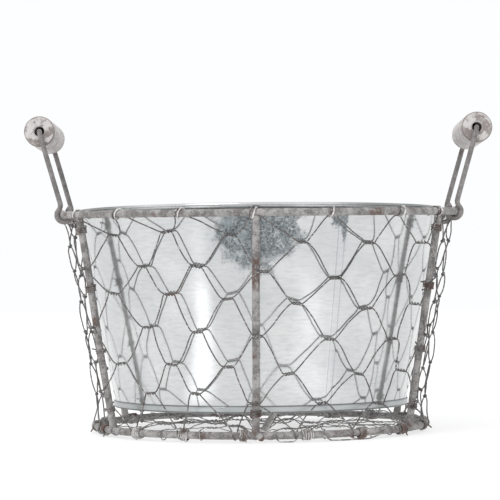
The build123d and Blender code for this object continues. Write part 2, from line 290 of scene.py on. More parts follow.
def tube(points, radius, sides_count=THIN_SIDES, closed=False, crust=0.0, crust_wave=1.6):
    """Vertices and faces of a round wire along points. crust roughens its skin by that many millimetres."""
    points, side, other = tube_rings(points, closed)
    radius = np.broadcast_to(np.asarray(radius, float), (len(points),))
    turn = np.arange(sides_count) * TURN / sides_count
    cross = np.cos(turn)[None, :, None] * side[:, None, :] + np.sin(turn)[None, :, None] * other[:, None, :]
    skin = points[:, None, :] + cross * radius[:, None, None]
    if crust:
        for i in range(skin.shape[0]):
            for j in range(skin.shape[1]):
                spot = Vector(skin[i, j]) / crust_wave
                lump = noise.noise(spot) + 0.5 * noise.noise(spot * 2.3)
                skin[i, j] += cross[i, j] * crust * lump
    count = len(points)
    verts = skin.reshape(-1, 3)
    faces = []
    for i in range(count if closed else count - 1):
        a, b = i * sides_count, (i + 1) % count * sides_count
        for j in range(sides_count):
            k = (j + 1) % sides_count
            faces.append((a + j, a + k, b + k, b + j))
    if not closed:
        faces.append(tuple(range(sides_count))[::-1])
        faces.append(tuple((count - 1) * sides_count + j for j in range(sides_count)))
    return verts, faces


def piece(name, parts, body, material, stands_for=(), smooth=60):
    """One mesh object from (vertices, faces) parts in millimetres, riding on a CAD body."""
    verts, faces, start = [], [], 0
    for part_verts, part_faces in parts:
        verts.append(np.asarray(part_verts))
        faces += [tuple(start + v for v in face) for face in part_faces]
        start += len(part_verts)
    mesh = bpy.data.meshes.new(name)
    mesh.from_pydata((np.concatenate(verts) * MM).tolist(), [], faces)
    mesh.validate()
    mesh.shade_smooth()
    mesh.set_sharp_from_angle(angle=math.radians(smooth))
    mesh.materials.append(material)
    made = bpy.data.objects.new(name, mesh)
    bpy.context.scene.collection.objects.link(made)
    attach(made, body)
    if stands_for:
        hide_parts(*stands_for)
    return made


def turned(profile, count, shift, axis_y=None):
    """A profile of (radius, height) points turned about the Z axis, or about a line along Y through axis_y.

    shift says how far each point moves outwards.
    """
    verts = []
    for j in range(count):
        angle = 360 * j / count
        for radius, height in profile:
            radius += shift(angle, radius, height)
            if axis_y is None:
                verts.append(on_basket(angle, radius, height))
            else:
                aside, up = radius * math.sin(math.radians(angle)), radius * math.cos(math.radians(angle))
                verts.append((axis_y.x + aside, axis_y.y + height, axis_y.z + up))
    rows = len(profile)
    faces = []
    for j in range(count):
        k = (j + 1) % count
        for i in range(rows - 1):
            faces.append((j * rows + i, k * rows + i, k * rows + i + 1, j * rows + i + 1))
    return np.array(verts), faces


def coil(line, angle, advance, turns, start_phase, radius, way=1):
    """A wire wound round a ring, from start_phase degrees above outwards, moving on by advance degrees."""
    count = int(turns * COIL_POINTS)
    points = []
    for k in range(count + 1):
        share = k / count
        phase = math.radians(start_phase + way * 360 * turns * share)
        place = angle + advance * share
        points.append(line(place) + radius * (math.cos(phase) * outwards(place) + math.sin(phase) * UP))
    return points


# ---------------------------------------------------------------- materials
class Shader:
    """A short way to write a node material on object coordinates in metres."""

    def __init__(self, name):
        self.material = bpy.data.materials.new(name)
        self.material.use_nodes = True
        self.tree = self.material.node_tree
        self.surface = self.tree.nodes["Principled BSDF"]
        self.place = self.tree.nodes.new("ShaderNodeTexCoord").outputs["Object"]

    def put(self, socket, value):
        if isinstance(value, bpy.types.NodeSocket):
            self.tree.links.new(value, socket)
        else:
            socket.default_value = value

    def new(self, kind, inputs=(), **settings):
        made = self.tree.nodes.new(kind)
        for key, value in settings.items():
            setattr(made, key, value)
        for key, value in dict(inputs).items():
            self.put(made.inputs[key], value)
        return made

    def noise(self, size, detail=4.0, roughness=0.55, vector=None, distortion=0.0):
        """Noise whose largest lumps are about size millimetres across."""
        inputs = {"Vector": vector or self.place, "Scale": 1 / (size * MM), "Detail": detail,
                  "Roughness": roughness, "Distortion": distortion}
        return self.new("ShaderNodeTexNoise", inputs).outputs["Fac"]

    def stretched(self, factors):
        return self.new("ShaderNodeMapping", {"Vector": self.place, "Scale": factors}).outputs["Vector"]

    def spangle(self, size):
        """Flat crystals about size millimetres across, each with its own tone."""
        crystals = self.new("ShaderNodeTexVoronoi", {"Vector": self.place, "Scale": 1 / (size * MM)})
        return self.new("ShaderNodeSeparateColor", {"Color": crystals.outputs["Color"]}).outputs[0]

    def coordinates(self):
        axes = self.new("ShaderNodeSeparateXYZ", {"Vector": self.place})
        return [axes.outputs[k] for k in "XYZ"]

    def fade(self, value, low, high, to_low=0.0, to_high=1.0):
        inputs = {"Value": value, "From Min": low, "From Max": high, "To Min": to_low, "To Max": to_high}
        return self.new("ShaderNodeMapRange", inputs, interpolation_type="SMOOTHSTEP").outputs["Result"]

    def math(self, operation, a, b=0.0):
        return self.new("ShaderNodeMath", {0: a, 1: b}, operation=operation).outputs["Value"]

    def distance(self, value, middle):
        """How far value is from middle, either way."""
        return self.math("ABSOLUTE", self.math("SUBTRACT", value, middle))

    def length(self, a, b):
        return self.math("SQRT", self.math("ADD", self.math("MULTIPLY", a, a), self.math("MULTIPLY", b, b)))

    def mean(self, a, b, share):
        """share of a and the rest of b."""
        return self.math("ADD", self.math("MULTIPLY", a, share), self.math("MULTIPLY", b, 1 - share))

    def blend(self, share, a, b):
        made = self.new("ShaderNodeMix", data_type="RGBA")
        for socket, value in ((made.inputs[0], share), (made.inputs[6], a), (made.inputs[7], b)):
            if isinstance(value, tuple):
                value = (*value, 1.0)
            self.put(socket, value)
        return made.outputs[2]

    def relief(self, height, depth):
        """Bump of the given depth in millimetres."""
        return self.new("ShaderNodeBump", {"Height": height, "Distance": depth * MM}).outputs["Normal"]

    def finish(self, **sockets):
        for key, value in sockets.items():
            if isinstance(value, tuple):
                value = (*value, 1.0)
            self.put(self.surface.inputs[key.replace("_", " ")], value)
        return self.material


def limewashed_iron(name, pale, grey, rust_share):
    """Iron wire under a thin chalky wash that has worn through to grey and rust."""
    s = Shader(name)
    fine = s.noise(0.9, 4.0, 0.6)
    wash = s.fade(s.mean(s.noise(5.0, 5.0, 0.62), fine, 0.6), 0.40, 0.60)
    rust = s.math("ADD", s.noise(14.0, 5.0, 0.6), s.math("MULTIPLY", fine, 0.25))
    rust = s.fade(rust, rust_share, rust_share + 0.09)
    torn = s.fade(s.noise(2.6, 5.0, 0.6), 0.40, 0.52)
    for centre, reach in RUST_SCARS:
        scar = torn
        for value, middle, half in zip(s.coordinates(), centre, reach):
            inside = s.fade(s.distance(value, middle * MM), half * MM, half / 2 * MM)
            scar = s.math("MULTIPLY", scar, inside)
        rust = s.math("MAXIMUM", rust, scar)
    rust_tone = s.blend(s.noise(1.4), (0.055, 0.030, 0.022), (0.16, 0.085, 0.06))
    specks = s.fade(s.noise(0.5, 2.0), 0.62, 0.70)
    colour = s.blend(wash, grey, pale)
    colour = s.blend(s.math("MULTIPLY", rust, 0.85), colour, rust_tone)
    colour = s.blend(s.math("MULTIPLY", specks, 0.35), colour, (0.62, 0.60, 0.58))
    height = s.math("ADD", s.math("MULTIPLY", fine, 0.7), s.math("MULTIPLY", wash, 0.5))
    return s.finish(Base_Color=colour, Roughness=s.fade(wash, 0.0, 1.0, 0.62, 0.86),
                    Metallic=0.0, Normal=s.relief(height, 0.22))


def dull_wire(name, dark, pale):
    """Thin galvanised wire gone dull, with crumbs of the wash on it."""
    s = Shader(name)
    tone = s.noise(6.0, 4.0)
    crumbs = s.fade(s.noise(1.2, 3.0), 0.55, 0.64)
    rust = s.fade(s.noise(18.0, 4.0), 0.60, 0.70)
    colour = s.blend(s.fade(tone, 0.35, 0.65), dark, pale)
    colour = s.blend(s.math("MULTIPLY", crumbs, 0.75), colour, (0.58, 0.565, 0.56))
    colour = s.blend(s.math("MULTIPLY", rust, 0.6), colour, (0.12, 0.065, 0.045))
    return s.finish(Base_Color=colour, Roughness=s.fade(tone, 0.3, 0.7, 0.42, 0.62),
                    Metallic=0.35, Normal=s.relief(s.noise(0.4, 3.0), 0.05))


def frosted(s, x, y, z):
    """Where coarse crystals have grown: ragged patches at the front, below the rolled rim."""
    patch = 0.0
    for middle, half_width, depth, wave, tear in FROST:
        ragged = s.math("MULTIPLY", s.math("SUBTRACT", s.noise(wave, 8.0, 0.75), 0.5), tear)
        across = s.math("DIVIDE", s.math("SUBTRACT", x, middle * MM), half_width * MM)
        down = s.math("DIVIDE", s.math("SUBTRACT", z, FROST_TOP * MM), depth * MM)
        reach = s.math("ADD", s.length(across, down), ragged)
        patch = s.math("MAXIMUM", s.fade(reach, 1.05, 0.70), patch)
    for value, limit in ((y, -60), (z, RIM_TOP - 2.6)):
        patch = s.math("MULTIPLY", patch, s.math("LESS_THAN", value, limit * MM))
    feathers = s.noise(2.6, 8.0, 0.8, distortion=1.6)
    return s.math("MULTIPLY", patch, s.fade(feathers, 0.30, 0.52))


def frost_tone(s, x):
    """Dark and pale crystals, with even pale islands except at the far right."""
    crystals = s.fade(s.noise(1.1, 7.0, 0.8, distortion=0.8), 0.40, 0.60)
    colour = s.blend(crystals, (0.018, 0.028, 0.032), (0.27, 0.31, 0.33))
    islands = s.fade(s.noise(7.0, 3.0, 0.6), 0.50, 0.62, 0.0, 0.55)
    islands = s.math("MULTIPLY", islands, s.math("LESS_THAN", x, 30 * MM))
    return s.blend(islands, colour, (0.31, 0.35, 0.37))


def zinc():
    """Galvanised sheet: large soft spangle, faint rolling lines, frosty patches of coarse crystals, and
    painted shade on the foot and the rim's roll.
    """
    s = Shader("zinc")
    x, y, z = s.coordinates()
    tone = s.spangle(9.0)
    cloud = s.noise(34.0, 4.0, 0.5)
    lines = s.noise(0.8, 3.0, 0.5, vector=s.stretched((0.18, 0.18, 2.2)))
    streaks = s.noise(2.4, 5.0, 0.7, vector=s.stretched((0.35, 0.35, 1.8)))
    colour = s.blend(s.fade(cloud, 0.35, 0.65), (0.608, 0.619, 0.622), (0.700, 0.707, 0.708))
    colour = s.blend(s.math("MULTIPLY", tone, 0.20), colour, (0.50, 0.525, 0.54))
    colour = s.blend(s.fade(streaks, 0.42, 0.66, 0.0, 0.30), colour, (0.44, 0.465, 0.475))
    frost = frosted(s, x, y, z)
    colour = s.blend(s.math("MULTIPLY", frost, 0.9), colour, frost_tone(s, x))

    # The foot is rougher and its colour darker, a painted shade; the dark lines along its two edges and under
    # the rim's roll are painted shadow.
    foot = s.math("LESS_THAN", z, (FOOT_Z + FOOT_HEIGHT) * MM)
    colour = s.blend(s.math("MULTIPLY", foot, 0.45), colour, (0.27, 0.30, 0.30))
    for line in (FOOT_Z + 0.5, FOOT_Z + FOOT_HEIGHT, RIM_TOP - 2.9):
        painted_shadow_line = s.fade(s.distance(z, line * MM), 0.6 * MM, 0.2 * MM, 0.0, 0.7)
        colour = s.blend(painted_shadow_line, colour, (0.16, 0.175, 0.175))

    # The rim's roll is darkened all round but for the front, a painted shade that stands in for dark
    # reflections, and the lap shows as two fine lines.
    turn = s.math("ARCTAN2", x, s.math("MULTIPLY", y, -1.0))
    rim = s.math("GREATER_THAN", z, (RIM_TOP - 2.4) * MM)
    rim_painted_shade = s.math("MULTIPLY", s.fade(s.distance(turn, -0.13), 0.45, 0.75), rim)
    colour = s.blend(s.math("MULTIPLY", rim_painted_shade, 0.7), colour, (0.16, 0.17, 0.165))
    from_seam = s.distance(turn, math.radians(SEAM_ANGLE))
    from_edge = s.distance(from_seam, math.radians(SEAM_WIDTH / 2))
    colour = s.blend(s.fade(from_edge, 0.005, 0.001, 0.0, 0.45), colour, (0.30, 0.33, 0.35))

    gloss = s.fade(cloud, 0.3, 0.7, 0.085, 0.135)
    for mask, share in ((frost, 0.25), (foot, 0.22), (tone, 0.05)):
        gloss = s.math("ADD", gloss, s.math("MULTIPLY", mask, share))
    height = s.math("ADD", s.math("MULTIPLY", lines, 0.5), s.math("MULTIPLY", tone, 0.08))
    return s.finish(Base_Color=colour, Roughness=gloss, Metallic=0.78, Normal=s.relief(height, 0.010))


def limewashed_wood():
    """Turned wood under a thin white wash, worn to grey-brown in patches and on the ends."""
    s = Shader("limewashed_wood")
    x, y, z = s.coordinates()
    grain = s.noise(2.2, 5.0, 0.65, vector=s.stretched((1.0, 0.12, 1.0)))
    rings = s.noise(0.7, 3.0, 0.5, vector=s.stretched((0.2, 1.6, 0.2)))
    worn = s.noise(6.5, 5.0, 0.62)
    bare = s.fade(s.mean(worn, grain, 0.7), 0.47, 0.55)
    from_end = s.math("SUBTRACT", GRIP_LENGTH / 2 * MM, s.math("ABSOLUTE", y))
    end = s.math("LESS_THAN", from_end, 0.15 * MM)
    bare = s.math("MULTIPLY", bare, s.math("ADD", s.math("MULTIPLY", end, 0.55), 0.35))
    aside = s.math("SUBTRACT", s.math("ABSOLUTE", x), GRIP_CENTRE.x * MM)
    up = s.math("SUBTRACT", z, GRIP_CENTRE.z * MM)
    edge = s.fade(s.length(aside, up), (GRIP_RADIUS - 1.0) * MM, (GRIP_RADIUS - 0.4) * MM)
    edge = s.math("MULTIPLY", edge, s.fade(from_end, 1.7 * MM, 1.0 * MM))
    edge = s.math("MULTIPLY", edge, s.fade(worn, 0.30, 0.45, 0.45, 0.95))
    bare = s.math("MAXIMUM", bare, edge)
    wood = s.blend(grain, (0.16, 0.13, 0.12), (0.30, 0.26, 0.245))
    wash = s.blend(rings, (0.52, 0.485, 0.47), (0.70, 0.68, 0.67))
    return s.finish(Base_Color=s.blend(bare, wash, wood), Roughness=s.fade(worn, 0.3, 0.7, 0.55, 0.75),
                    Normal=s.relief(s.mean(rings, grain, 0.5), 0.12))


FRAME_PAINT = limewashed_iron("limewashed_frame", (0.385, 0.37, 0.366), (0.145, 0.135, 0.132), 0.72)
BAIL_PAINT = limewashed_iron("limewashed_bail", (0.275, 0.258, 0.256), (0.145, 0.133, 0.131), 0.74)
LACE_PAINT = limewashed_iron("limewashed_lacing", (0.60, 0.58, 0.57), (0.10, 0.092, 0.09), 0.66)
# A paler wash than the frame's: painted light on the floor bar, to make up for the shade under the liner.
BAR_PAINTED_LIGHT = limewashed_iron("limewashed_bar_painted_light", (0.84, 0.79, 0.76), (0.54, 0.50, 0.475), 0.78)
RIM_LACE_PAINT = limewashed_iron("limewashed_rim_lacing", (0.86, 0.84, 0.83), (0.36, 0.34, 0.33), 0.80)
RUSTY_PAINT = limewashed_iron("rusty_weld", (0.36, 0.33, 0.32), (0.14, 0.11, 0.10), 0.42)
TIE_PAINT = limewashed_iron("worn_ties", (0.34, 0.32, 0.31), (0.06, 0.052, 0.05), 0.60)
DULL_WIRE = dull_wire("dull_wire", (0.085, 0.078, 0.076), (0.165, 0.155, 0.152))
FLOOR_NET_WIRE = dull_wire("floor_net_wire", (0.15, 0.14, 0.138), (0.36, 0.35, 0.345))
ZINC = zinc()
WOOD = limewashed_wood()


# ---------------------------------------------------------------- frame
def make_rings():
    for name, line, seed, sway in (("top_ring", top_line, 1, 0.12), ("base_ring", base_line, 2, 0.35)):
        count = 560
        path = wander([line(360 * k / count) for k in range(count)], sway, 60.0, seed)
        parts = [tube(path, WIRE / 2, STOUT_SIDES, closed=True, crust=RING_CRUST)]
        piece(name, parts, "basket", FRAME_PAINT, [name])


def strut_ends(angle):
    """The ends of a strut on the two rings. The front one stands a little left of the middle."""
    low_shift, high_shift = (FRONT_FOOT_SHIFT, FRONT_HEAD_SHIFT) if angle == 0 else (0.0, 0.0)
    return base_line(angle + low_shift), top_line(angle + high_shift)


def make_struts():
    places = ("front", "front_right", "back_right", "back", "back_left", "front_left")
    for k, place in enumerate(places):
        low, high = strut_ends(k * 360 / STRUTS)
        count = 110
        path = wander([low + (high - low) * i / count for i in range(count + 1)], 0.4, 45.0, 3 + k)
        length = np.linalg.norm(high - low)
        from_weld = [min(i, count - i) / count * length for i in range(count + 1)]
        radius = [WIRE / 2 * (1 + 0.16 * math.exp(-((d / 3.2) ** 2))) for d in from_weld]
        name = f"strut_{place}"
        parts = [tube(path, radius, STOUT_SIDES, crust=STRUT_CRUST)]
        piece(name, parts, "basket", FRAME_PAINT, [name])


def make_floor_bar():
    low, high = node_box("floor_bar")
    size = high.z - low.z
    middle = (low.z + high.z) / 2
    start = np.array((low.x + size / 2, -BASE_RADIUS + 1.0, middle))
    end = np.array((high.x - size / 2, high.y, middle))
    count = 150
    path = wander([start + (end - start) * i / count for i in range(count + 1)], 0.4, 50.0, 11)
    parts = [tube(path, size / 2, STOUT_SIDES, crust=RING_CRUST)]
    piece("floor_bar", parts, "basket", BAR_PAINTED_LIGHT, ["floor_bar"])

    # Its front end is battered to a knob, which sticks out under the base ring, above a rusty weld.
    shares = [1.08] * 8 + [1.0, 0.91]
    knob = [start + np.array((-0.12 * k, -0.45 * k, 0)) for k in range(len(shares))]
    parts = [tube(knob, [size / 2 * share for share in shares], STOUT_SIDES, crust=WELD_CRUST)]
    piece("floor_bar_end", parts, "basket", FRAME_PAINT)
    turns = [math.pi * k / 30 for k in range(31)]
    weld = [start + np.array((-1.7 * math.cos(turn), -2.5, -1.2)) for turn in turns]
    parts = [tube(weld, [0.05 + 1.6 * math.sin(turn) for turn in turns], 20, crust=WELD_CRUST)]
    piece("floor_bar_weld", parts, "basket", RUSTY_PAINT)


# ---------------------------------------------------------------- side netting
def pulled(row, angle):
    """The angle to which hand bending has pulled a twist: rows lean to the left, and bulge on the right."""
    bulge = NET_BULGE_TOP if row < 2 else NET_BULGE
    away = (angle - NET_BULGE_ANGLE + 180) % 360 - 180
    return angle + NET_LEAN * max(row - 1, 0) + bulge * math.exp(-((away / NET_BULGE_SPREAD) ** 2))


def make_twists():
    """Angle, height, lift, slope and half length of each twist, from the row under the top ring down."""
    twists = {}
    for row, z in enumerate(NET_ROWS, 1):
        for step in range(row % 2, 2 * CELLS, 2):
            angle = STEP * step + NET_PHASE
            from_strut = (angle + HALF_PANEL) % (2 * HALF_PANEL) - HALF_PANEL
            loose = 0.3 if abs(from_strut) < 4 else 1.0
            angle = pulled(row, angle) + dice.uniform(-0.9, 0.9) * loose
            height = z + dice.uniform(-1.3, 1.3) - NET_SLANT * math.sin(math.radians(2 * angle))
            lift = dice.uniform(-0.5, 0.9) * loose
            slope = dice.uniform(-0.16, 0.16)
            half = TWIST_LENGTH / 2 * dice.uniform(0.9, 1.12)
            twists[row, step] = (angle, height, lift, slope, half)
    return twists


def twist_run(twist, above):
    """The part of one wire that is twisted with its neighbour. above tells which of the two it is."""
    angle, z, lift, slope, half = twist
    points = []
    for k in range(TWIST_POINTS + 1):
        share = 2 * k / TWIST_POINTS - 1
        place = angle + math.degrees(share * half / net_radius(angle, z))
        height = z + share * half * slope
        phase = TURN * TWIST_TURNS * k / TWIST_POINTS + (math.pi / 2 if above else -math.pi / 2)
        radius = net_radius(place, height) + lift + TWIST_REACH * math.cos(phase)
        points.append(on_basket(place, radius, height + TWIST_REACH * math.sin(phase)))
    return points


def make_netting():
    twists = make_twists()
    wrap = WIRE / 2 + NET_WIRE / 2 + 0.1
    last_row = len(NET_ROWS) + 1
    for wire in range(len(NET_ROWS) + 1):
        runs = []
        for step in range(2 * CELLS):
            row = wire if (step + wire) % 2 == 0 else wire + 1
            if row == 0 and step * STEP % (2 * HALF_PANEL) == 0:
                run = coil(top_line, STEP * step + TOP_PHASE - 0.7, 1.4, 1.0, -35, wrap)
            elif row == 0:
                angle = pulled(row, STEP * step + TOP_PHASE) + dice.uniform(-0.6, 0.6)
                run = coil(top_line, angle - 1.0, 1.6, 0.72, -100, wrap)
            elif row == last_row:
                angle = STEP * step + BASE_PHASE - STEP + dice.uniform(-1.5, 1.5)
                run = coil(base_line, angle - 0.6, 1.2, 0.75, 35, wrap, way=-1)
            else:
                run = twist_run(twists[row, step], above=row == wire + 1)
            runs.append(run)
        path = []
        for run, after in zip(runs, runs[1:] + runs[:1]):
            path += run
            path += bezier(run[-1], heading(run[-2], run[-1]), after[0], heading(after[0], after[1]), 9)
        path = wander(path, 0.55, 9.0, 31)
        name = f"netting_wire_{wire + 1}"
        piece(name, [tube(path, NET_WIRE / 2, closed=True)], "basket", DULL_WIRE, [name])


# ---------------------------------------------------------------- lacing and ties
def tail(points, way, length):
    """A short free end on a wound wire, bent away in a soft curve."""
    end = points[-1]
    ahead = (end - points[-2]) / np.linalg.norm(end - points[-2])
    return points + [end + ahead * length * t + way * length * t * t for t in (0.25, 0.5, 0.75, 1.0)]


def make_lacing():
    wrap = WIRE / 2 + LACE_WIRE / 2 + 0.08
    rim, base = [], []
    for k in range(CELLS):
        angle = pulled(0, 2 * STEP * k + TOP_PHASE)
        run = coil(top_line, angle - 0.5, 2.2, 1.0, -160, wrap + 0.25)
        rim.append(tube(tail(run, along(angle) * 0.5, 1.5), LACE_WIRE / 2))
        angle = 2 * STEP * k + BASE_PHASE + dice.uniform(0.8, 1.6)
        turns = dice.choice((2.25, 3.25, 4.25, 5.25))
        advance = dice.uniform(0.5, 0.9) * turns
        run = coil(base_line, angle, advance, turns, dice.uniform(60, 120), wrap + 0.25, way=-1)
        run = tail(wander(run, 0.5, 2.2, 40 + k), outwards(angle) * 0.6 - UP * 0.3, 2.2)
        base.append(tube(lifted(run, LACE_WIRE / 2 + 0.02), LACE_WIRE / 2))
    for start, end, drop in LOOSE_ENDS:
        run = []
        for k in range(LOOSE_POINTS + 1):
            sag = math.sin(math.pi * k / LOOSE_POINTS)
            sunk = min(1.0, drop * sag)
            radius = BASE_RADIUS + wrap * math.cos(math.pi / 2 * sunk) + LOOSE_REACH * sag
            z = BASE_Z - (BASE_Z - LACE_WIRE / 2) * sunk
            run.append(on_basket(start + (end - start) * k / LOOSE_POINTS, radius, z))
        run = wander(run, 0.3, 7.0, int(start))
        base.append(tube(lifted(run, NET_WIRE / 2 + 0.05), NET_WIRE / 2))
    piece("rim_lacing", rim, "basket", RIM_LACE_PAINT, ["rim_lacing"])
    piece("base_lacing", base, "basket", LACE_PAINT, ["base_lacing"])


def make_ties():
    parts = []
    reach = WIRE / 2 + LACE_WIRE / 2 + 0.30
    for k in range(STRUTS):
        low, high = strut_ends(k * 360 / STRUTS)
        strut_way = (high - low) / np.linalg.norm(high - low)
        side = along(k * 360 / STRUTS)
        front = np.cross(strut_way, side)
        # The front and the back strut are tied at the foot only.
        for height in TIE_HEIGHTS if k % 3 else TIE_HEIGHTS[-1:]:
            middle = low + (high - low) * (height - low[2]) / (high[2] - low[2])
            turns = dice.choice((2.3, 3.2, 3.8))
            rise = turns * TIE_PITCH
            count = int(turns * COIL_POINTS)
            start = dice.uniform(0, TURN)
            points = []
            for i in range(count + 1):
                phase = start + TURN * turns * i / count
                lift = (i / count - 0.5) * rise
                around = math.cos(phase) * side + math.sin(phase) * front
                points.append(middle + strut_way * lift + reach * around)
            points = wander(points, 0.35, 2.0, int(height) + k)
            away = side * dice.choice((-1, 1)) + UP * dice.uniform(-0.5, 0.5)
            points = tail(points, away, dice.uniform(1.6, 3.0))
            points = tail(points[::-1], away - UP * 0.4, dice.uniform(0.8, 2.4))
            parts.append(tube(points, LACE_WIRE / 2))
    piece("strut_ties", parts, "basket", TIE_PAINT, ["strut_ties"])


# ---------------------------------------------------------------- floor netting
def floor_twist(row, step):
    """The place and height of a twist of the crumpled floor netting."""
    toss = random.Random(1000 * row + step)
    x = step * FLOOR_CELL / 2 + toss.uniform(-2.5, 2.5)
    y = row * FLOOR_ROW + toss.uniform(-3.0, 3.0)
    if abs(x - BAR_X) < BAR_ROOM:
        z = BASE_Z - WIRE / 2 - 0.6
    elif toss.random() < 0.04:
        z = FLOOR_NET_TOP - 1.2
    else:
        z = BASE_Z - 0.8 + FLOOR_CRUMPLE * toss.random()
    return np.array((x, y, z))


def make_floor_netting():
    edge = BASE_RADIUS - 0.5
    rows = int(edge / FLOOR_ROW)
    steps = int(2 * edge / FLOOR_CELL) + 1
    half = FLOOR_TWIST / 2
    wrap = WIRE / 2 + NET_WIRE / 2 + 0.1
    right = np.array((1.0, 0, 0))
    front = np.array((0, -1.0, 0))
    parts = []
    for low_row in range(-rows, rows):
        path = []
        for step in range(-steps, steps + 1):
            is_low = (step + low_row) % 2 == 0
            centre = floor_twist(low_row if is_low else low_row + 1, step)
            run = []
            for k in range(FLOOR_POINTS + 1):
                phase = TURN * TWIST_TURNS * k / FLOOR_POINTS + (-math.pi / 2 if is_low else math.pi / 2)
                spot = centre + right * half * (2 * k / FLOOR_POINTS - 1)
                run.append(spot - front * TWIST_REACH * math.sin(phase) + UP * FLOOR_REACH * math.cos(phase))
            if path:
                path += bezier(path[-1], right * 2.4, run[0], right * 2.4, 7)
            path += run
        inside = [p for p in path if math.hypot(p[0], p[1]) < edge - 4]
        ends = []
        for near in (inside[0], inside[-1]):
            angle = math.degrees(math.atan2(near[0], -near[1]))
            ends.append(coil(base_line, angle, 1.2, 1.0, 115, wrap, way=-1))
        start, finish = ends[0][::-1], ends[1]
        path = start + bezier(start[-1], UP * 0.4, inside[0], inside[1] - inside[0], 3) + inside
        path += bezier(inside[-1], inside[-1] - inside[-2], finish[0], -UP * 0.4, 3) + finish
        path = lifted(wander(path, 0.8, 7.0, 50 + low_row), FLOOR_WIRE / 2 + 0.1)
        parts.append(tube(path, FLOOR_WIRE / 2))
    piece("floor_netting", parts, "basket", FLOOR_NET_WIRE, ["floor_netting"])


# ---------------------------------------------------------------- liner
def sheet_shift(angle, radius, z):
    """How far the hand-worked sheet is out of round, and the lap where its two ends meet."""
    spot = Vector((math.sin(math.radians(angle)) * 2.2, math.cos(math.radians(angle)) * 2.2, z / 60))
    wobble = 0.22 * noise.noise(spot) + 0.10 * noise.noise(spot * 2.7)
    inside_wall = FOOT_Z + FOOT_HEIGHT < z < RIM_TOP - 3.2
    off = abs((angle - SEAM_ANGLE + 180) % 360 - 180)
    lap = SEAM_HEIGHT * min(max((SEAM_WIDTH / 2 - off) / 0.35 + 0.5, 0), 1) if inside_wall else 0.0
    fade = min(max((z - FOOT_Z - 2) / 8, 0), 1) * min(max((RIM_TOP - z) / 6, 0), 1)
    return wobble * fade + lap


def foot_shift(angle, radius, z):
    """Faint ripples round the folded foot. The middle of the plate stays flat."""
    return 0.06 * noise.noise(Vector((angle / 9, z, 3.0))) * (radius > 10)


def make_liner():
    bead_radius, bead_z = RIM_OUTER - BEAD_RADIUS, RIM_TOP - BEAD_RADIUS
    hoop = [on_basket(k / 2, bead_radius, bead_z) for k in range(720)]
    parts = [tube(hoop, BEAD_HOOP, closed=True)]
    piece("liner_rim_wire", parts, "liner", DULL_WIRE, ["liner_rim_wire"])

    neck_z = RIM_TOP - 2 * BEAD_RADIUS
    outer = [(liner_radius(z), z) for z in np.linspace(FOOT_Z + 0.8, neck_z - 0.2, 48)]
    curl = [math.radians(a) for a in range(-110, 181, 15)]
    curl = [(bead_radius + BEAD_RADIUS * math.cos(a), bead_z + BEAD_RADIUS * math.sin(a)) for a in curl]
    inner = [(r - SHEET, z) for r, z in outer][::-1]
    parts = [turned([*outer, *curl, *inner, outer[0]], 720, sheet_shift)]
    piece("liner_wall", parts, "liner", ZINC, ["liner_wall"], smooth=40)

    # The bottom from below: plate, step down, standing rim, band round the wall, and back inside.
    z, r, top = FOOT_Z, FOOT_RADIUS, FOOT_Z + FOOT_HEIGHT
    band = [
        (0.02, z + 2.1), (r * 0.3, z + 2.1), (r - 6.0, z + 2.1), (r - 4.0, z + 1.9),
        (r - 3.4, z + 1.2), (r - 3.2, z + 0.5), (r - 2.8, z + 0.08), (r - 2.2, z),
        (r - 1.0, z), (r - 0.4, z + 0.12), (r - 0.1, z + 0.5), (r, z + 1.1),
        (r - 0.06, z + 2.4), (r, top - 0.6), (r - 0.15, top - 0.15), (r - 0.4, top),
        (r - 0.75, top - 0.2), (r - 0.9, top - 0.8), (r - 1.0, z + 0.7), (r - 2.0, z + 0.6),
        (r - 2.5, z + 0.9), (r - 2.6, z + 2.2), (r - 3.4, z + 2.6), (r - 6.0, z + 2.7),
        (r * 0.3, z + 2.7), (0.02, z + 2.7),
    ]
    parts = [turned(band, 480, foot_shift)]
    piece("liner_base", parts, "liner", ZINC, ["liner_base"], smooth=40)


# ---------------------------------------------------------------- handles
def bail_path():
    """The right bail's wire in the plane of its legs: (outwards, along Y, up) from the swing line."""
    reverse = (EYE_NECK**2 - EYE_RADIUS**2) / (2 * EYE_RADIUS)
    touch = math.degrees(math.atan2(EYE_NECK, reverse))
    height = (GRIP_CENTRE - PIVOT).length
    eye = []
    for k in range(34):
        a = math.radians(EYE_END + (360 + touch - EYE_END) * k / 33)
        eye.append((EYE_RADIUS * math.cos(a), EYE_RADIUS * math.sin(a)))
    for k in range(1, 9):
        a = math.radians(180 + touch - touch * k / 8)
        eye.append((reverse + reverse * math.cos(a), EYE_NECK + reverse * math.sin(a)))
    corner_z = height - BAIL_CORNER
    corner_y = BAIL_CORNER - LEG_HALF
    eye += [(0.0, EYE_NECK + (corner_z - EYE_NECK) * k / 30) for k in range(1, 31)]
    half = [(u, -LEG_HALF, w) for u, w in eye]
    for k in range(1, 9):
        a = math.radians(180 - 90 * k / 8)
        half.append((0.0, corner_y + BAIL_CORNER * math.cos(a), corner_z + BAIL_CORNER * math.sin(a)))
    half += [(0.0, corner_y - corner_y * k / 20, height) for k in range(1, 21)]
    return half + [(u, -y, w) for u, y, w in half[-2::-1]]


def worn_wood(seed):
    """How far the wood stands out or is chipped away; seed makes the two grips differ."""

    def shift(angle, radius, height):
        a = math.radians(angle)
        spot = Vector((math.sin(a) * radius, height, math.cos(a) * radius))
        near_edge = math.exp(-(((GRIP_LENGTH / 2 - abs(height)) / 1.3) ** 2)) * (radius > GRIP_RADIUS - 1.5)
        lump = noise.noise(spot / 2.2 + Vector((seed * 9.0, 0, 0)))
        return -0.45 * near_edge * max(lump, 0) + 0.05 * noise.noise(spot / 7)

    return shift


